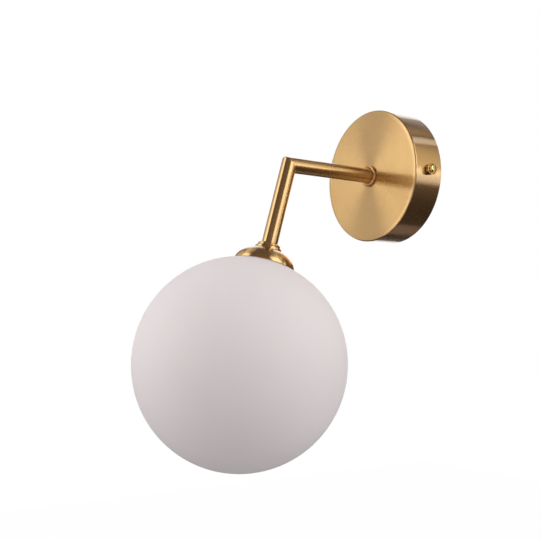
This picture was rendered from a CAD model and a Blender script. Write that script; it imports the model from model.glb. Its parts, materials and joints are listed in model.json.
import json
import math

import bmesh
import bpy
import numpy as np
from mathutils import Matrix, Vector


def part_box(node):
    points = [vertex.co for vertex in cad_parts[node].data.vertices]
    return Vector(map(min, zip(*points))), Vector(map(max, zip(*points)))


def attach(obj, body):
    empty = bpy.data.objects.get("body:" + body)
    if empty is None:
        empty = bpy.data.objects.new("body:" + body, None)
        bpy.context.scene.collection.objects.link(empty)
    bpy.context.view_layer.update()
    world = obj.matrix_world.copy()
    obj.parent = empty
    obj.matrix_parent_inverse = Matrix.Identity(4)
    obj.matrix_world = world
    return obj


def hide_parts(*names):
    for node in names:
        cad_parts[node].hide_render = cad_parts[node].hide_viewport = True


# Globe wall light: satin brass canopy, mitred tubes and cap, and an opal glass ball.
# Lengths in the dictionaries are millimetres; meshes are metres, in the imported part's own frame.

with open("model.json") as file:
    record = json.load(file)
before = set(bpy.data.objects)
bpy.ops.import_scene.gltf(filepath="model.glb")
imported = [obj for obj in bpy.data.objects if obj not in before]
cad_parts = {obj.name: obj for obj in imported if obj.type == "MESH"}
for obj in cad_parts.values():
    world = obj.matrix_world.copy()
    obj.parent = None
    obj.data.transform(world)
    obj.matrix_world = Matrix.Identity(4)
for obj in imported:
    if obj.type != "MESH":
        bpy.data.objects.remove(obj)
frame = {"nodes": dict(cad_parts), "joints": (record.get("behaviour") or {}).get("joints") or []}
bpy.context.scene.view_settings.view_transform = "Standard"
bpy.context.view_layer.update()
nodes = frame["nodes"]
joints = {joint["name"]: joint for joint in frame["joints"]}
mm = 0.001

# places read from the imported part
wallAxis = np.array([0.0, -1.0, 0.0])  # out of the wall
wallMiddle = np.zeros(3)
dropAxis = np.array(joints["globe_turn"]["axis"], float)  # down the leaning tube
dropAxis /= np.linalg.norm(dropAxis)
globeCentre = np.array(joints["globe_turn"]["pos_m"], float)
globeDrop = globeCentre[2] / dropAxis[2]
elbow = globeCentre - dropAxis * globeDrop  # where the axes of the two tubes cross
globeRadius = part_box("glass_globe")[1].x
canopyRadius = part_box("canopy")[1].x
canopyDepth = -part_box("canopy")[0].y
print("frame loaded:", len(nodes), "nodes")


# camera: azimuth and elevation of its backward direction in degrees, place in metres

cameraSet = {"azimuth": 55.579, "elevation": -4.135, "place": (0.494939, -0.461096, -0.121767),
             "lens": 55.70}


def directionOf(azimuth, elevation):
    # Unit vector at these degrees: azimuth 0 points out of the wall, 90 to +X.
    turn, rise = math.radians(azimuth), math.radians(elevation)
    level = math.cos(rise)
    return Vector((math.sin(turn) * level, -math.cos(turn) * level, math.sin(rise)))


def linkFacing(thing, place, away):
    # Put a camera or lamp in the scene so that it looks back along the direction away.
    bpy.context.scene.collection.objects.link(thing)
    thing.location = place
    thing.rotation_mode = "QUATERNION"
    thing.rotation_quaternion = (-away).to_track_quat("-Z", "Y")


def placeCamera(look):
    data = bpy.data.cameras.new("camera")
    data.lens = look["lens"]
    camera = bpy.data.objects.new("camera", data)
    linkFacing(camera, look["place"], directionOf(look["azimuth"], look["elevation"]))
    bpy.context.scene.camera = camera


placeCamera(cameraSet)


# small helpers for shader nodes

def addNode(tree, kind, inputs=None, **settings):
    made = tree.nodes.new("ShaderNode" + kind)
    for name, value in settings.items():
        setattr(made, name, value)
    for name, value in (inputs or {}).items():
        if isinstance(value, bpy.types.NodeSocket):
            tree.links.new(value, made.inputs[name])
        else:
            made.inputs[name].default_value = value
    return made


def maths(tree, operation, first, second=0.0):
    return addNode(tree, "Math", {0: first, 1: second}, operation=operation).outputs[0]


def vectorMaths(tree, operation, first, second=(0.0, 0.0, 0.0)):
    made = addNode(tree, "VectorMath", {0: first, 1: second}, operation=operation)
    return made.outputs["Value" if operation in ("LENGTH", "DOT_PRODUCT") else "Vector"]


def ramp(tree, value, start, end, low=0.0, high=1.0):
    # A smooth step from low at start to high at end.
    spans = {"Value": value, "From Min": start, "From Max": end, "To Min": low, "To Max": high}
    return addNode(tree, "MapRange", spans, interpolation_type="SMOOTHSTEP").outputs["Result"]


def blendColours(tree, factor, first, second):
    made = addNode(tree, "Mix", data_type="RGBA")
    for socket, value in (("Factor_Float", factor), ("A_Color", first), ("B_Color", second)):
        target = next(s for s in made.inputs if s.identifier == socket)
        if isinstance(value, bpy.types.NodeSocket):
            tree.links.new(value, target)
        else:
            target.default_value = value if socket == "Factor_Float" else (*value, 1.0)
    return next(s for s in made.outputs if s.identifier == "Result_Color")


def noiseOf(tree, place, scale, detail, roughness):
    return addNode(tree, "TexNoise", {"Vector": place, "Scale": scale, "Detail": detail,
                                      "Roughness": roughness}).outputs["Fac"]


def bumpOf(tree, height, strength, distance):
    # Normal of a surface with this height in millimetres.
    return addNode(tree, "Bump", {"Height": height, "Strength": strength,
                                  "Distance": distance * mm}).outputs[0]


def varied(tree, tone, look):
    # Roughness that falls a little from the darker tone to the lighter one.
    middle, spread = look["roughness"], look["roughSpread"]
    return ramp(tree, tone, *look["roughSpan"], middle * (1 + spread), middle * (1 - spread))


def emptyMaterial(name):
    material = bpy.data.materials.new(name)
    material.use_nodes = True
    material.node_tree.nodes.clear()
    return material, material.node_tree


def finishMaterial(tree, inputs):
    # A Principled surface with these inputs, led to the output.
    shader = addNode(tree, "BsdfPrincipled", inputs)
    addNode(tree, "OutputMaterial", {"Surface": shader.outputs[0]})


def seenOrMirrored(tree):
    # 1 for rays that the camera, polished metal or clear glass sends out, else 0.
    path = addNode(tree, "LightPath")
    either = maths(tree, "MAXIMUM", path.outputs["Is Camera Ray"], path.outputs["Is Glossy Ray"])
    return maths(tree, "MAXIMUM", either, path.outputs["Is Transmission Ray"])


# studio: white surroundings, a pale floor far below, soft lamps, and a dark tent with bright
# windows that only the metal mirrors

studioSet = {
    "surroundings": 0.42,  # strength of the light from all round
    "floorHeight": -1.5,
    "floorSize": 12.0,
    "floorColour": (0.92, 0.92, 0.92),
    "floorWhite": 0.985,  # share of the floor's look that is plain white
    "tentRadius": 1.3,
    "tentMiddle": (0.0, -0.07, -0.02),
    "tentGrid": (24, 48),
    "tentDark": 0.13,
    "tentLow": 0.045,  # darker still below, over these degrees of elevation
    "tentLowSpan": (-30, -6),
    "tentCloth": (1.0, 0.82, 0.84),
    "tentWindow": (1.0, 0.985, 0.98),
    "tentBlend": 5,  # times as bright as the cloth where its colour gives way to a window's
    "lampAim": (0.0, -0.1, -0.08),
}

# spans of azimuth and elevation in degrees, with the width of their soft edges
tentWindows = {
    "rightBack": {"azimuth": (84, 127), "elevation": (1, 45), "soft": (8, 14), "bright": 2.1},
    "lowBack": {"azimuth": (129, 140), "elevation": (-8, 9), "soft": (4, 10), "bright": 2.45},
    "lowFront": {"azimuth": (16, 80), "elevation": (-40, 6), "soft": (12, 14), "bright": 0.5},
    "leftFront": {"azimuth": (-43, -7), "elevation": (-16, 44), "soft": (10, 12), "bright": 1.8},
    "gap": {"azimuth": (-84, -38), "elevation": (-16, 42), "soft": (6, 14), "bright": 0.62},
    "behind": {"azimuth": (-152, -104), "elevation": (-17, 46), "soft": (9, 6), "bright": 1.3},
    "ceilingEdge": {"azimuth": (-181, -150), "elevation": (34, 46), "soft": (10, 4), "bright": 0.5},
    "streak": {"azimuth": (147, 161), "elevation": (37, 43.5), "soft": (5, 1.5), "bright": 1.7},
    "lowPatch": {"azimuth": (-176, -148), "elevation": (-60, -38), "soft": (4, 4), "bright": 0.24},
    "ceilingLamp": {"azimuth": (138, 166), "elevation": (47, 62), "soft": (6, 5), "bright": 0.65},
    "ceilingLeft": {"azimuth": (-100, -40), "elevation": (46, 72), "soft": (8, 8), "bright": 0.65},
}

lamps = {
    "rightLamp": {"azimuth": 130, "elevation": 16, "distance": 1.15, "size": 0.9, "power": 5.6},
    "leftLamp": {"azimuth": -30, "elevation": 14, "distance": 1.15, "size": 0.9, "power": 5.4},
    "frontLamp": {"azimuth": 50, "elevation": 22, "distance": 1.3, "size": 0.9, "power": 3.0},
    "topLamp": {"azimuth": 60, "elevation": 78, "distance": 1.15, "size": 0.9, "power": 1.2},
}


def paintWorld(studio):
    world = bpy.data.worlds.new("surroundings")
    world.use_nodes = True
    tree = world.node_tree
    tree.nodes.clear()
    grey = addNode(tree, "Background", {"Color": (1, 1, 1, 1), "Strength": studio["surroundings"]})
    white = addNode(tree, "Background", {"Color": (1, 1, 1, 1), "Strength": 1.0})
    mix = addNode(tree, "MixShader", {0: seenOrMirrored(tree), 1: grey.outputs[0],
                                      2: white.outputs[0]})
    addNode(tree, "OutputWorld", {"Surface": mix.outputs[0]})
    bpy.context.scene.world = world


def layFloor(studio):
    # Flat pale floor that looks nearly white and still takes a shadow.
    half, height = studio["floorSize"] / 2, studio["floorHeight"]
    corners = [(x * half, y * half, height) for x, y in ((-1, -1), (1, -1), (1, 1), (-1, 1))]
    mesh = bpy.data.meshes.new("floor")
    mesh.from_pydata(corners, [], [(0, 1, 2, 3)])
    floor = bpy.data.objects.new("floor", mesh)
    bpy.context.scene.collection.objects.link(floor)
    material, tree = emptyMaterial("paleFloor")
    matt = addNode(tree, "BsdfDiffuse", {"Color": (*studio["floorColour"], 1.0)})
    white = addNode(tree, "Emission", {"Color": (1, 1, 1, 1), "Strength": 1.0})
    share = maths(tree, "MULTIPLY", seenOrMirrored(tree), studio["floorWhite"])
    mix = addNode(tree, "MixShader", {0: share, 1: matt.outputs[0], 2: white.outputs[0]})
    addNode(tree, "OutputMaterial", {"Surface": mix.outputs[0]})
    mesh.materials.append(material)


def windowLight(tree, azimuth, elevation, window):
    # Brightness of one window: a soft-edged rectangle in azimuth and elevation.
    light = window["bright"]
    for angle, span, soft in ((azimuth, window["azimuth"], window["soft"][0]),
                              (elevation, window["elevation"], window["soft"][1])):
        opening = ramp(tree, angle, span[0] - soft / 2, span[0] + soft / 2)
        closing = ramp(tree, angle, span[1] - soft / 2, span[1] + soft / 2, 1.0, 0.0)
        light = maths(tree, "MULTIPLY", maths(tree, "MULTIPLY", opening, closing), light)
    return light


def hangTent(studio, windows):
    # Ball round the light, seen by mirror reflections alone: dark cloth with lit windows.
    rows, columns = studio["tentGrid"]
    rise = np.linspace(-math.pi / 2, math.pi / 2, rows)[:, None]
    turn = np.linspace(0, 2 * math.pi, columns, endpoint=False)[None, :]
    ball = np.stack([np.cos(rise) * np.cos(turn), np.cos(rise) * np.sin(turn),
                     np.sin(rise) + 0 * turn], -1) * studio["tentRadius"]
    tent = surfacePiece("tent", (ball + np.array(studio["tentMiddle"]), False, True))
    material, tree = emptyMaterial("tentCloth")
    place = addNode(tree, "TexCoord").outputs["Object"]
    away = vectorMaths(tree, "SUBTRACT", place, studio["tentMiddle"])
    axes = addNode(tree, "SeparateXYZ", {0: vectorMaths(tree, "NORMALIZE", away)})
    front = maths(tree, "MULTIPLY", axes.outputs["Y"], -1.0)
    azimuth = maths(tree, "DEGREES", maths(tree, "ARCTAN2", axes.outputs["X"], front))
    elevation = maths(tree, "DEGREES", maths(tree, "ARCSINE", axes.outputs["Z"]))
    dark = studio["tentDark"]
    light = ramp(tree, elevation, *studio["tentLowSpan"], studio["tentLow"], dark)
    for window in windows.values():
        light = maths(tree, "MAXIMUM", light, windowLight(tree, azimuth, elevation, window))
    lit = ramp(tree, light, dark, dark * studio["tentBlend"])
    tint = blendColours(tree, lit, studio["tentCloth"], studio["tentWindow"])
    glow = addNode(tree, "Emission", {"Color": tint, "Strength": light})
    addNode(tree, "OutputMaterial", {"Surface": glow.outputs[0]})
    tent.data.materials.append(material)
    material.cycles.emission_sampling = "NONE"
    tent.visible_camera = tent.visible_diffuse = tent.visible_transmission = False
    tent.visible_shadow = tent.visible_volume_scatter = False


def hangLamps(studio, looks):
    for name, look in looks.items():
        data = bpy.data.lights.new(name, "AREA")
        data.shape = "DISK"
        data.size = look["size"]
        data.energy = look["power"]
        lamp = bpy.data.objects.new(name, data)
        away = directionOf(look["azimuth"], look["elevation"])
        linkFacing(lamp, Vector(studio["lampAim"]) + away * look["distance"], away)
        lamp.visible_camera = lamp.visible_glossy = False


# surfaces worked out with numpy

def gridFaces(points, loopRows, loopColumns, first):
    # Quads of a grid of points [row, column, xyz], numbered from first.
    index = np.arange(points.shape[0] * points.shape[1]).reshape(points.shape[:2]) + first
    if loopRows:
        index = np.vstack([index, index[:1]])
    if loopColumns:
        index = np.hstack([index, index[:, :1]])
    corners = [index[:-1, :-1], index[:-1, 1:], index[1:, 1:], index[1:, :-1]]
    return np.stack(corners, -1).reshape(-1, 4)


def surfacePiece(name, *grids):
    # Object sewn from grids (points, loopRows, loopColumns): points that coincide are merged, so
    # edges and poles close, and the faces are then turned outwards.
    places, faces, count = [], [], 0
    for points, loopRows, loopColumns in grids:
        faces.append(gridFaces(points, loopRows, loopColumns, count))
        places.append(points.reshape(-1, 3))
        count += len(places[-1])
    mesh = bpy.data.meshes.new(name)
    mesh.from_pydata(np.concatenate(places).tolist(), [], np.concatenate(faces).tolist())
    sewMesh(mesh)
    piece = bpy.data.objects.new(name, mesh)
    bpy.context.scene.collection.objects.link(piece)
    return piece


def sewMesh(mesh, apart=1e-7):
    work = bmesh.new()
    work.from_mesh(mesh)
    bmesh.ops.remove_doubles(work, verts=work.verts, dist=apart)
    bmesh.ops.dissolve_degenerate(work, edges=work.edges, dist=apart)
    bmesh.ops.recalc_face_normals(work, faces=work.faces)
    work.to_mesh(mesh)
    work.free()
    mesh.shade_smooth()


def sidesOf(axis):
    # Two unit vectors square to an axis, the first along X where it can be.
    first = np.array([0.0, 1.0, 0.0]) if abs(axis[0]) > 0.9 else np.array([1.0, 0.0, 0.0])
    return first, np.cross(axis, first)


def ringAround(axis, turns):
    # Unit vectors at equal turns round an axis: cos of the turn on one side, sin on the other.
    first, second = sidesOf(axis)
    turn = np.arange(turns) * 2 * math.pi / turns
    return np.cos(turn)[:, None] * first + np.sin(turn)[:, None] * second


def turnedGrid(outline, origin, axis, turns):
    # Outline of (radius, height) points carried once round an axis: point = origin + height along
    # the axis + radius times the ring's unit vector.
    radius, height = outline[:, 0, None, None], outline[:, 1, None, None]
    return origin + height * axis + radius * ringAround(axis, turns)[None]


def turnedPiece(name, outline, origin, axis, turns=160):
    # A turned solid. An outline that ends on the axis closes in poles, any other closes on itself.
    closed = outline[0, 0] > 0 or outline[-1, 0] > 0
    return surfacePiece(name, (turnedGrid(outline, origin, axis, turns), closed, True))


def roundedOutline(corners, steps=7, hold=0.3, share=0.3):
    # Outline in metres through (radius, height, rounding) corners in millimetres. A corner with a
    # rounding becomes an arc that touches both sides, with one more point along each side, so that
    # the flat stretches shade flat: hold away from the arc, or a share of the side if that is less.
    spots = np.array([corner[:2] for corner in corners], float)
    made = []
    for k, corner in enumerate(corners):
        here, before, after = spots[k], spots[k - 1], spots[(k + 1) % len(spots)]
        rounding = corner[2] if len(corner) > 2 else 0.0
        if not rounding:
            made.append(here[None])
            continue
        back, ahead = before - here, after - here
        backLength, aheadLength = np.linalg.norm(back), np.linalg.norm(ahead)
        back, ahead = back / backLength, ahead / aheadLength
        half = math.acos(np.clip(back @ ahead, -1, 1)) / 2
        reach = rounding / math.tan(half)
        centre = here + (back + ahead) / np.linalg.norm(back + ahead) * rounding / math.sin(half)
        start, end = here + back * reach - centre, here + ahead * reach - centre
        sweep = math.atan2(start[0] * end[1] - start[1] * end[0], start @ end)
        turn = np.linspace(0, sweep, steps)[:, None]
        sideways = np.array([-start[1], start[0]])
        arc = centre + np.cos(turn) * start + np.sin(turn) * sideways
        backHold = min(hold, share * max(backLength - reach, 0))
        aheadHold = min(hold, share * max(aheadLength - reach, 0))
        made += [arc[:1] + back * backHold, arc, arc[-1:] + ahead * aheadHold]
    return np.concatenate(made) * mm


def ellipsePoints(centre, wide, tall, start, end, steps):
    # Points of an ellipse on the axis, between degrees from its top: radius = wide sin, height =
    # centre - tall cos.
    turn = np.radians(np.linspace(start, end, steps))
    return np.stack([wide * np.sin(turn), centre - tall * np.cos(turn)], -1)


# metal finishes

satinBrass = {
    "colour": (0.82, 0.52, 0.205),
    "deeper": (0.75, 0.455, 0.165),
    "roughness": 0.26,
    "roughSpread": 0.08,
    "anisotropy": 0.97,
    "lacquer": 1.0,
    "lacquerRoughness": 0.05,
    "lineSpacing": 0.16,
    "lineTurns": 1.6,  # changes of the brushed lines on their way round, per radius of the ring
    "lineDepth": 0.0038,
    "lineStrength": 0.35,
    "lineNoise": (3.0, 0.6),  # detail and roughness
    "cloudScale": 38.0,
    "cloudNoise": (3.0, 0.55),
    "toneSpan": (0.35, 0.65),
    "roughSpan": (0.3, 0.7),
}

polishedBrass = {
    **satinBrass,
    "colour": (0.90, 0.66, 0.27),
    "deeper": (0.86, 0.60, 0.23),
    "roughness": 0.12,
    "anisotropy": 0.3,
    "lineDepth": 0.002,
}


def brushedBrass(name, look, origin, axis):
    # Brass brushed in rings round an axis. The ring direction is axis x (place - origin). Fine
    # lines vary with the distance from the axis and along it, and run on round the ring.
    material, tree = emptyMaterial(name)
    place = addNode(tree, "TexCoord").outputs["Object"]
    out = vectorMaths(tree, "SUBTRACT", place, tuple(origin))
    around = vectorMaths(tree, "CROSS_PRODUCT", tuple(axis), out)
    ring = vectorMaths(tree, "NORMALIZE", around)
    toWorld = addNode(tree, "VectorTransform", {0: ring}, vector_type="VECTOR",
                      convert_from="OBJECT", convert_to="WORLD")
    # brushed lines: noise that is fast across the ring and slow along it
    across = addNode(tree, "CombineXYZ", {0: vectorMaths(tree, "LENGTH", around),
                                          1: vectorMaths(tree, "DOT_PRODUCT", out, tuple(axis))})
    fine = vectorMaths(tree, "SCALE", across.outputs[0])
    fine.node.inputs["Scale"].default_value = 1 / (look["lineSpacing"] * mm)
    slow = vectorMaths(tree, "SCALE", ring)
    slow.node.inputs["Scale"].default_value = look["lineTurns"]
    lines = noiseOf(tree, vectorMaths(tree, "ADD", fine, slow), 1.0, *look["lineNoise"])
    cloud = noiseOf(tree, place, look["cloudScale"], *look["cloudNoise"])
    tone = maths(tree, "MULTIPLY", maths(tree, "ADD", lines, cloud), 0.5)  # mean of the two
    mix = ramp(tree, tone, *look["toneSpan"])
    finishMaterial(tree, {
        "Base Color": blendColours(tree, mix, look["deeper"], look["colour"]), "Metallic": 1.0,
        "Roughness": varied(tree, tone, look), "Anisotropic": look["anisotropy"],
        "Anisotropic Rotation": 0.25, "Tangent": toWorld.outputs[0],  # a quarter turn
        "Normal": bumpOf(tree, lines, look["lineStrength"], look["lineDepth"]),
        "Coat Weight": look["lacquer"], "Coat Roughness": look["lacquerRoughness"],
    })
    return material


wallBrass = brushedBrass("satinBrassWall", satinBrass, wallMiddle, wallAxis)
dropBrass = brushedBrass("satinBrassDrop", satinBrass, elbow, dropAxis)
print("brass finishes made")


def dress(piece, material, body, slot, *stoodFor):
    # Give a piece its material, the body it moves with, its slot and the nodes it stands for.
    piece.data.materials.clear()
    piece.data.materials.append(material)
    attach(piece, body)
    if stoodFor:
        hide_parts(*stoodFor)
    return piece


paintWorld(studioSet)
layFloor(studioSet)
hangTent(studioSet, tentWindows)
hangLamps(studioSet, lamps)
print("studio ready")


# canopy: drawn cup, open to the wall

# the face falls away a little over its shoulder, the outermost ring before the edge's round
canopyShape = {"wall": 1.0, "edgeRound": 1.1, "shoulder": 2.9, "fall": 0.24, "shoulderRound": 14.0,
               "lipRound": 0.3, "hole": 5.1, "smallRound": 0.2, "turns": 320, "arcSteps": 9}
# the hole sits in a block of columns and rows of the wall's grid, between two heights of a band
screwHole = {"radius": 2.35, "edge": 0.18, "out": 12.9, "down": 1.6, "bandLow": 7.0,
             "bandHigh": 19.0, "columns": (-7, 3), "rows": 10, "rings": 6, "ringEase": 0.8}


def wallPoints(radius, across, out):
    # Points on a cylinder round the wall axis, from their height (Z) and their distance out.
    return np.stack([np.sqrt(radius ** 2 - across ** 2), -out + 0 * across, across], -1) * mm


def holePatch(hole, radius, depth, columns):
    # Rings that pass from the rectangle of points round a screw hole to the hole's circle, and then
    # go into the wall as depth says, in (ring radius, way in) pairs.
    rows = np.linspace(hole["bandLow"], hole["bandHigh"], hole["rows"] + 1)
    low = np.stack([columns, np.full_like(columns, rows[0])], -1)
    high = np.stack([columns, np.full_like(columns, rows[-1])], -1)[::-1]
    right = np.stack([np.full_like(rows, columns[-1]), rows], -1)
    left = np.stack([np.full_like(rows, columns[0]), rows], -1)[::-1]
    border = np.concatenate([low[:-1], right[:-1], high[:-1], left[:-1]])
    middle = np.array([-hole["down"], hole["out"]])
    away = border - middle
    away /= np.linalg.norm(away, axis=1)[:, None]
    circle = middle + away * (hole["radius"] + hole["edge"])
    steps = np.linspace(0, 1, hole["rings"])[:, None, None] ** hole["ringEase"]
    rings = [wallPoints(radius, *flat.T) for flat in border + (circle - border) * steps]
    for ringRadius, wayIn in depth:
        ring = wallPoints(radius, *(middle + away * ringRadius).T)
        ring[:, 0] -= wayIn * mm
        rings.append(ring)
    return np.stack(rings)


def makeCanopy(shape, hole):
    # The cup's outline turned round the wall axis, in an upper part and a lip. Between them each
    # wall is a band of rows that leaves out a block of cells at each side screw. A holePatch fills
    # each block.
    radius, depth, wall = canopyRadius / mm, canopyDepth / mm, shape["wall"]
    inner, turns, small = radius - wall, shape["turns"], shape["smallRound"]
    low, high = hole["bandLow"], hole["bandHigh"]
    upper = roundedOutline([
        (radius, high), (radius, depth - shape["fall"], shape["edgeRound"]),
        (radius - shape["shoulder"], depth, shape["shoulderRound"]), (shape["hole"], depth, small),
        (shape["hole"], depth - wall, small), (inner, depth - wall, small), (inner, high),
    ], steps=shape["arcSteps"])
    lipRound = shape["lipRound"]
    lip = roundedOutline([(inner, low), (inner, 0, lipRound), (radius, 0, lipRound), (radius, low)])
    grids = [(turnedGrid(line, wallMiddle, wallAxis, turns), False, True) for line in (upper, lip)]
    first, last = hole["columns"]
    half = turns // 2
    heights = np.linspace(low, high, hole["rows"] + 1)
    for skin, inward in ((radius, 1), (inner, -1)):
        band = np.stack([np.full_like(heights, skin), heights], -1) * mm
        points = turnedGrid(band, wallMiddle, wallAxis, turns)
        for start, end in ((last, half - last), (half - first, turns + first)):
            grids.append((points[:, np.arange(start, end + 1) % turns], False, False))
        columns = skin * np.sin(np.arange(first, last + 1) * 2 * math.pi / turns)
        depths = [(hole["radius"], way * inward) for way in (hole["edge"], wall / 2)]
        patch = holePatch(hole, skin, depths, columns)
        grids += [(patch, False, True), (patch * (-1, 1, 1), False, True)]
    piece = surfacePiece("canopyCup", *grids)
    return dress(piece, wallBrass, "fixture", "satin_brass", "canopy")


makeCanopy(canopyShape, screwHole)
print("canopy made")


# the two tubes, mitred at the elbow

tubeShape = {"radius": 5.85, "wall": 0.85, "outerCorner": 0.8, "innerCorner": 0.25, "hold": 0.3}
capSet = {"top": 65.0}


def mitredTubes(shape, columns=128, cornerSteps=7):
    # Each line along the tubes runs straight to the mitre plane, where the arm's line and the
    # drop's line meet, and turns the corner there on a parabola: (1-u)^2 start + 2u(1-u) corner
    # + u^2 end. The arm takes the first half of the corner and the drop the second.
    arm = wallAxis
    across = (arm + dropAxis) / np.linalg.norm(arm + dropAxis)  # normal of the mitre plane
    ring = ringAround(arm, columns)

    def cornerOf(radius):
        offset = ring * radius
        return elbow + offset - arm * ((offset @ across) / (arm @ across))[:, None]

    outside = cornerOf(shape["radius"] * mm)
    inside = cornerOf((shape["radius"] - shape["wall"]) * mm)
    outward = (outside - elbow) @ (arm - dropAxis)
    share = (outward / np.abs(outward).max() + 1) / 2
    tight, wide = shape["innerCorner"], shape["outerCorner"]
    reach = (tight + (wide - tight) * share)[:, None] * mm
    u = np.linspace(0, 1, 2 * cornerSteps - 1)[:, None, None]
    bend = ((1 - u) ** 2 * (outside - arm * reach) + 2 * u * (1 - u) * outside
            + u ** 2 * (outside + dropAxis * reach))

    def alongArm(points, out):
        return points - arm * ((points @ arm) - out)[:, None]

    def alongDrop(points, drop):
        return points - dropAxis * (((points - elbow) @ dropAxis) - drop)[:, None]

    face, end, hold = canopyDepth, capSet["top"] * mm, shape["hold"] * mm
    armRows = [alongArm(outside, out) for out in (face, face + hold)]
    armRows += [outside - arm * (reach + hold), *bend[:cornerSteps], inside]
    armRows += [alongArm(inside, out) for out in (face + hold, face)]
    dropRows = [inside, *bend[cornerSteps - 1:], outside + dropAxis * (reach + hold)]
    dropRows += [alongDrop(outside, out) for out in (end - hold, end)]
    dropRows += [alongDrop(inside, out) for out in (end, end - hold)]
    armPiece = surfacePiece("armTube", (np.stack(armRows), True, True))
    dropPiece = surfacePiece("dropTube", (np.stack(dropRows), True, True))
    dress(armPiece, wallBrass, "fixture", "satin_brass", "arm_tube")
    dress(dropPiece, dropBrass, "fixture", "satin_brass", "drop_tube")


mitredTubes(tubeShape)
print("tubes made")


# collars: a rounded bead round each tube, with a small V against the tube

collarShape = {"radius": 8.4, "height": 2.5, "bore": 5.9, "vDepth": 1.1, "vWidth": 1.0,
               "round": 1.1, "boreRound": 0.1, "lipRound": 0.25, "arcSteps": 8, "hold": 0.15}


def makeCollar(name, node, shape, origin, axis, material):
    radius, height, bore = shape["radius"], shape["height"], shape["bore"]
    outline = roundedOutline([
        (bore, 0, shape["boreRound"]), (radius, 0, shape["round"]),
        (radius, height, shape["round"]), (bore + shape["vWidth"], height, shape["lipRound"]),
        (bore, height - shape["vDepth"], shape["boreRound"]),
    ], steps=shape["arcSteps"], hold=shape["hold"])
    piece = turnedPiece(name, outline, origin, axis)
    return dress(piece, material, "fixture", "satin_brass", node)


faceMiddle, dropEnd = wallAxis * canopyDepth, elbow + dropAxis * capSet["top"] * mm
makeCollar("armCollar", "arm_collar", collarShape, faceMiddle, wallAxis, wallBrass)
makeCollar("dropCollar", "drop_collar", collarShape, dropEnd, -dropAxis, dropBrass)
print("collars made")


# cap: half an ellipsoid of thin sheet with a raised seat on its crown

capShape = {"seatRadius": 9.8, "seatRound": 0.7, "radius": 22.2, "dome": 12.9, "rim": 78.6,
            "wall": 0.8, "hole": 5.1, "holeRound": 0.15, "crownRound": 0.35, "innerRound": 0.3,
            "lip": 0.3, "lipRound": 0.12, "steps": 34, "arcSteps": 6, "turns": 192}


def makeCap(shape):
    top, rim, wall = capSet["top"], shape["rim"], shape["wall"]
    seat, wide, tall = shape["seatRadius"], shape["radius"], shape["dome"]
    innerWide, innerTall, innerSeat = wide - wall, tall - wall, seat - wall
    meet = math.degrees(math.asin(seat / wide))
    innerMeet = math.degrees(math.asin(innerSeat / innerWide))
    dome = ellipsePoints(rim, wide, tall, meet, 90, shape["steps"])
    hollow = ellipsePoints(rim, innerWide, innerTall, 90, innerMeet, shape["steps"])
    half, end, soft = rim + shape["lip"] / 2, rim + shape["lip"], shape["lipRound"]
    lip = [(wide, half), (wide - soft, end), (innerWide + soft, end), (innerWide, half)]
    hole, holeRound, innerRound = shape["hole"], shape["holeRound"], shape["innerRound"]
    crown = roundedOutline([
        (hole, top, holeRound), (seat, top, shape["seatRound"]), (*dome[0], shape["crownRound"]),
        *dome[1:], *lip, *hollow[:-1], (*hollow[-1], innerRound),
        (innerSeat, top + wall, innerRound), (hole, top + wall, holeRound),
    ], steps=shape["arcSteps"])
    piece = turnedPiece("capDome", crown, elbow, dropAxis, turns=shape["turns"])
    return dress(piece, dropBrass, "fixture", "satin_brass", "shade_cap")


makeCap(capShape)
print("cap made")


# globe: blown opal ball with a short neck

globeShape = {"wall": 2.5, "neckRadius": 14.5, "neckTop": 72.3, "neckRoot": 0.7, "rimRound": 0.9,
              "innerRoot": 0.5, "steps": 120, "innerSteps": 90, "turns": 224}
# depth is how far light spreads in the glass, in millimetres
opalLook = {"colour": (0.86, 0.772, 0.778), "veil": (0.88, 0.792, 0.798), "toneSpan": (0.3, 0.7),
            "roughness": 0.62, "ior": 1.5, "gloss": 0.25, "depth": 4.0, "depthShare": 0.35,
            "depthColour": (1.0, 0.95, 0.9), "cloudScale": 14.0, "cloudNoise": (2.0, 0.5),
            "grainScale": 2600.0, "grainNoise": (2.0, 0.7), "grainStrength": 0.25,
            "grainDepth": 0.02}


def opalGlass(look):
    # Acid-matt opal glass: nearly even white, faint clouding, a very fine etched grain.
    material, tree = emptyMaterial("opalGlass")
    place = addNode(tree, "TexCoord").outputs["Object"]
    cloud = noiseOf(tree, place, look["cloudScale"], *look["cloudNoise"])
    grain = noiseOf(tree, place, look["grainScale"], *look["grainNoise"])
    colour = blendColours(tree, ramp(tree, cloud, *look["toneSpan"]), look["colour"], look["veil"])
    finishMaterial(tree, {
        "Base Color": colour, "Roughness": look["roughness"], "IOR": look["ior"],
        "Specular IOR Level": look["gloss"], "Subsurface Weight": look["depthShare"],
        "Subsurface Radius": look["depthColour"], "Subsurface Scale": look["depth"] * mm,
        "Normal": bumpOf(tree, grain, look["grainStrength"], look["grainDepth"]),
    })
    return material


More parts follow.
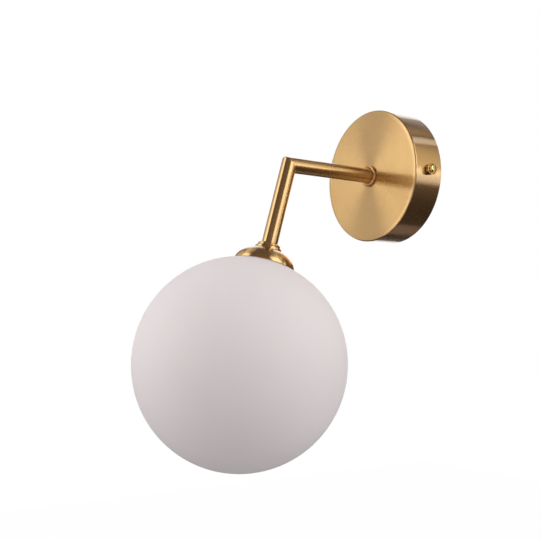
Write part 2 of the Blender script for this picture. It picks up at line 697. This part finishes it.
def makeGlobe(shape):
    middle, ball, wall = globeDrop / mm, globeRadius / mm, shape["wall"]
    neck, bore, top = shape["neckRadius"], shape["neckRadius"] - wall, shape["neckTop"]
    hollow = ball - wall
    neckAngle = math.degrees(math.asin(neck / ball))
    boreAngle = math.degrees(math.asin(bore / hollow))
    outer = ellipsePoints(middle, ball, ball, 180, neckAngle, shape["steps"])
    inner = ellipsePoints(middle, hollow, hollow, boreAngle, 180, shape["innerSteps"])
    outline = roundedOutline([
        *outer[:-1], (*outer[-1], shape["neckRoot"]), (neck, top, shape["rimRound"]),
        (bore, top, shape["rimRound"]), (*inner[0], shape["innerRoot"]), *inner[1:],
    ])
    outline[0, 0] = outline[-1, 0] = 0.0
    piece = turnedPiece("globe", outline, elbow, dropAxis, turns=shape["turns"])
    return dress(piece, opalGlass(opalLook), "globe", "opal_glass", "glass_globe")


makeGlobe(globeShape)
print("globe made")


# side screws: a flared ferrule and a slotted, dome-headed screw in each side of the canopy

ferruleShape = {"bore": 2.05, "start": 52.3, "foot": 3.9, "neck": 4.1, "rim": 4.5, "face": 55.3,
                "footHeight": 0.3, "flareStart": 1.1, "flareEnd": 0.8, "lipWidth": 0.55,
                "dishWidth": 1.1, "dishDepth": 0.5, "boreRound": 0.1, "footRound": 0.12,
                "neckRounds": (0.1, 0.12, 0.14), "lipRounds": (0.2, 0.18, 0.15), "arcSteps": 6,
                "hold": 0.08, "turns": 96}
# the slot's sides fall over slotSoft on either side of half its width; slotRows are their rows, in
# slotSoft steps
screwShape = {"shank": 1.95, "tip": 1.35, "start": 43.3, "pitch": 0.7, "thread": 0.16, "neck": 2.6,
              "head": 3.1, "seat": 54.85, "underHead": 55.6, "domeStart": 56.1, "domeCurve": 1.6,
              "end": 57.24, "slot": 0.9, "slotSoft": 0.07, "slotRows": (-1.5, -0.7, 0, 0.7, 1.5),
              "floor": 56.3, "headRows": 41, "headColumns": 25,
              "edgeSteps": ((0, 0.25), (0.05, 0.08), (0.2, 0)), "edgeTop": 0.12,
              "threadGap": 0.25, "point": 0.8, "threadFades": (1.2, 0.9), "threadRows": 170}
sideOrigin = np.array([0.0, -screwHole["out"], -screwHole["down"]]) * mm


def makeFerrule(name, node, body, shape, side, material):
    bore, start, neck = shape["bore"], shape["start"], shape["neck"]
    rim, face = shape["rim"], shape["face"]
    dish, boreRound = face - shape["dishDepth"], shape["boreRound"]
    neckRounds, lipRounds = shape["neckRounds"], shape["lipRounds"]
    outline = roundedOutline([
        (bore, start, boreRound), (shape["foot"], start, shape["footRound"]),
        (neck, start + shape["footHeight"], neckRounds[0]),
        (neck, face - shape["flareStart"], neckRounds[1]),
        (rim, face - shape["flareEnd"], neckRounds[2]), (rim, face, lipRounds[0]),
        (rim - shape["lipWidth"], face, lipRounds[1]),
        (rim - shape["dishWidth"], dish, lipRounds[2]), (bore, dish, boreRound),
    ], steps=shape["arcSteps"], hold=shape["hold"])
    axis = np.array([side, 0.0, 0.0])
    piece = turnedPiece(name, outline, sideOrigin, axis, turns=shape["turns"])
    return dress(piece, material, body, "polished_brass", node)


def makeSideScrew(name, node, body, shape, side, material):
    # Head: rows across the slot and columns along it, lifted by a dome and let down to the slot's
    # floor within half its width. The rim of that grid, a ring, is carried down the head and the
    # shank. On the shank its radius is a triangle wave of height / pitch - turn, the thread.
    head, half, soft = shape["head"], shape["slot"] / 2, shape["slotSoft"]
    nearSlot = np.degrees(np.arcsin((half + soft * np.array(shape["slotRows"])) / head))
    turn = np.concatenate([np.linspace(-90, 90, shape["headRows"]), nearSlot, -nearSlot])
    across = head * np.sin(np.radians(np.unique(turn.round(5))))[:, None]
    columns = np.cos(np.linspace(0, math.pi, shape["headColumns"]))[None]
    along = np.sqrt(np.maximum(head ** 2 - across ** 2, 0)) * columns
    across = across + 0 * along
    reach = np.minimum((across ** 2 + along ** 2) / head ** 2, 1)
    domeStart, under = shape["domeStart"], shape["underHead"]
    dome = domeStart + (shape["end"] - domeStart) * np.sqrt(1 - reach ** shape["domeCurve"])
    wayOut = np.clip((np.abs(across) - half + soft) / (2 * soft), 0, 1)
    sunk = 1 - wayOut ** 2 * (3 - 2 * wayOut)
    top = np.stack([dome + (np.minimum(dome, shape["floor"]) - dome) * sunk, across, along], -1)
    rim = np.concatenate([top[:, 0], top[-2:0:-1, -1]])  # once round the head
    angle = np.arctan2(rim[:, 2], rim[:, 1])
    sides = np.stack([np.cos(angle), np.sin(angle)], -1)[None]

    def ringLine(radius, height):
        return np.concatenate([np.full((1, len(rim), 1), height), sides * radius], -1)

    lines = [rim[None], ringLine(head, domeStart - shape["edgeTop"])]
    lines += [ringLine(head - inwards, under + up) for inwards, up in shape["edgeSteps"]]
    lines += [ringLine(shape["neck"], under), ringLine(shape["neck"], shape["seat"]),
              ringLine(shape["shank"], shape["seat"])]
    start, end = shape["start"], shape["seat"] - shape["threadGap"]
    fadeIn, fadeOut = shape["threadFades"]
    height = np.linspace(end, start + shape["point"], shape["threadRows"])[:, None]
    wave = np.abs((height / shape["pitch"] - side * angle / (2 * math.pi)) % 1 * 2 - 1)
    fade = np.clip((end - height) / fadeIn, 0, 1)
    fade = fade * np.clip((height - start - shape["point"]) / fadeOut, 0, 1)
    radius = (shape["shank"] - shape["thread"] * fade * (1 - wave))[..., None]
    lines.append(np.concatenate([height[..., None] + 0 * radius, sides * radius], -1))
    lines += [ringLine(shape["tip"], start), ringLine(0.0, start)]
    grids = []
    for points, loopColumns in ((top, False), (np.concatenate(lines), True)):
        grids.append((sideOrigin + points * (side * mm, mm, mm), False, loopColumns))
    piece = surfacePiece(name, *grids)
    return dress(piece, material, body, "polished_brass", node)


sideAxis = np.array([1.0, 0.0, 0.0])
sideBrass = brushedBrass("polishedBrassSide", polishedBrass, sideOrigin, sideAxis)
for label, side in (("right", 1), ("left", -1)):
    makeFerrule(f"{label}Ferrule", f"{label}_screw_ferrule", f"{label}_ferrule", ferruleShape, side,
                sideBrass)
    makeSideScrew(f"{label}Screw", f"{label}_side_screw", f"{label}_screw", screwShape, side,
                  sideBrass)
print("side screws made")


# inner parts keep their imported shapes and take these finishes

innerFinishes = {
    "zincSteel": {"colour": (0.60, 0.61, 0.62), "deeper": (0.47, 0.48, 0.50), "metallic": 1.0,
                  "roughness": 0.34, "cloud": 260.0, "grain": 2400.0, "depth": 0.004},
    "contactBrass": {"colour": (0.78, 0.64, 0.40), "deeper": (0.66, 0.50, 0.28), "metallic": 1.0,
                     "roughness": 0.36, "cloud": 340.0, "grain": 2600.0, "depth": 0.004},
    "holderCeramic": {"colour": (0.84, 0.81, 0.74), "deeper": (0.78, 0.74, 0.66), "metallic": 0.0,
                      "roughness": 0.6, "cloud": 420.0, "grain": 3200.0, "depth": 0.012},
    "sealRubber": {"colour": (0.70, 0.70, 0.67), "deeper": (0.62, 0.62, 0.58), "metallic": 0.0,
                   "roughness": 0.55, "cloud": 300.0, "grain": 3000.0, "depth": 0.006},
    "bulbPlastic": {"colour": (0.84, 0.84, 0.82), "deeper": (0.80, 0.80, 0.77), "metallic": 0.0,
                    "roughness": 0.3, "cloud": 200.0, "grain": 2600.0, "depth": 0.003},
    "bulbFrost": {"colour": (0.86, 0.86, 0.85), "deeper": (0.82, 0.82, 0.80), "metallic": 0.0,
                  "roughness": 0.5, "cloud": 260.0, "grain": 3600.0, "depth": 0.006},
    "ledBoard": {"colour": (0.80, 0.81, 0.78), "deeper": (0.72, 0.74, 0.70), "metallic": 0.0,
                 "roughness": 0.45, "cloud": 900.0, "grain": 5200.0, "depth": 0.004},
    "ledPhosphor": {"colour": (0.84, 0.62, 0.12), "deeper": (0.76, 0.52, 0.08), "metallic": 0.0,
                    "roughness": 0.28, "cloud": 1600.0, "grain": 6400.0, "depth": 0.003},
    "blockNylon": {"colour": (0.80, 0.79, 0.73), "deeper": (0.74, 0.72, 0.65), "metallic": 0.0,
                   "roughness": 0.5, "cloud": 240.0, "grain": 2200.0, "depth": 0.01},
    "brownWire": {"colour": (0.17, 0.075, 0.035), "deeper": (0.13, 0.055, 0.025), "metallic": 0.0,
                  "roughness": 0.35, "cloud": 300.0, "grain": 2000.0, "depth": 0.006},
    "blueWire": {"colour": (0.03, 0.11, 0.40), "deeper": (0.02, 0.085, 0.32), "metallic": 0.0,
                 "roughness": 0.35, "cloud": 300.0, "grain": 2000.0, "depth": 0.006},
    "earthWire": {"colour": (0.55, 0.60, 0.06), "deeper": (0.06, 0.30, 0.05), "metallic": 0.0,
                  "roughness": 0.35, "cloud": 300.0, "grain": 2000.0, "depth": 0.006},
}

# what all inner finishes share
innerSurface = {"cloudNoise": (4.0, 0.6), "grainNoise": (2.0, 0.6), "grainStrength": 0.5,
                "toneSpan": (0.32, 0.68), "roughSpan": (0.3, 0.7), "roughSpread": 0.15}

innerNodes = {
    "zincSteel": ("mounting_bracket", "arm_nipple", "arm_lock_washer", "arm_hex_nut", "drop_nipple",
                  "cap_lock_washer", "lampholder_screws", "bulb_pins", "terminal_screws",
                  "terminal_fixing_screw", "earth_ring_terminal"),
    "contactBrass": ("globe_holder", "lampholder_contacts", "terminal_clamps", "earth_screw"),
    "holderCeramic": ("lampholder_body",),
    "sealRubber": ("globe_gasket",),
    "bulbPlastic": ("bulb_base",),
    "bulbFrost": ("bulb_cover",),
    "ledBoard": ("bulb_led_board",),
    "ledPhosphor": ("bulb_led_chips",),
    "blockNylon": ("terminal_block",),
    "brownWire": ("live_wire",),
    "blueWire": ("neutral_wire",),
    "earthWire": ("earth_wire",),
}


def innerFinish(name, look):
    # Two close tones in soft clouds, with roughness that follows them and a fine surface grain.
    material, tree = emptyMaterial(name)
    place = addNode(tree, "TexCoord").outputs["Object"]
    cloud = noiseOf(tree, place, look["cloud"], *look["cloudNoise"])
    grain = noiseOf(tree, place, look["grain"], *look["grainNoise"])
    tone = ramp(tree, cloud, *look["toneSpan"])
    finishMaterial(tree, {
        "Base Color": blendColours(tree, tone, look["deeper"], look["colour"]),
        "Metallic": look["metallic"], "Roughness": varied(tree, cloud, look),
        "Normal": bumpOf(tree, grain, look["grainStrength"], look["depth"]),
    })
    return material


for finish, names in innerNodes.items():
    material = innerFinish(finish, {**innerSurface, **innerFinishes[finish]})
    for node in names:
        for place in range(len(nodes[node].data.materials)):
            nodes[node].material_slots[place].material = material
print("inner parts finished")
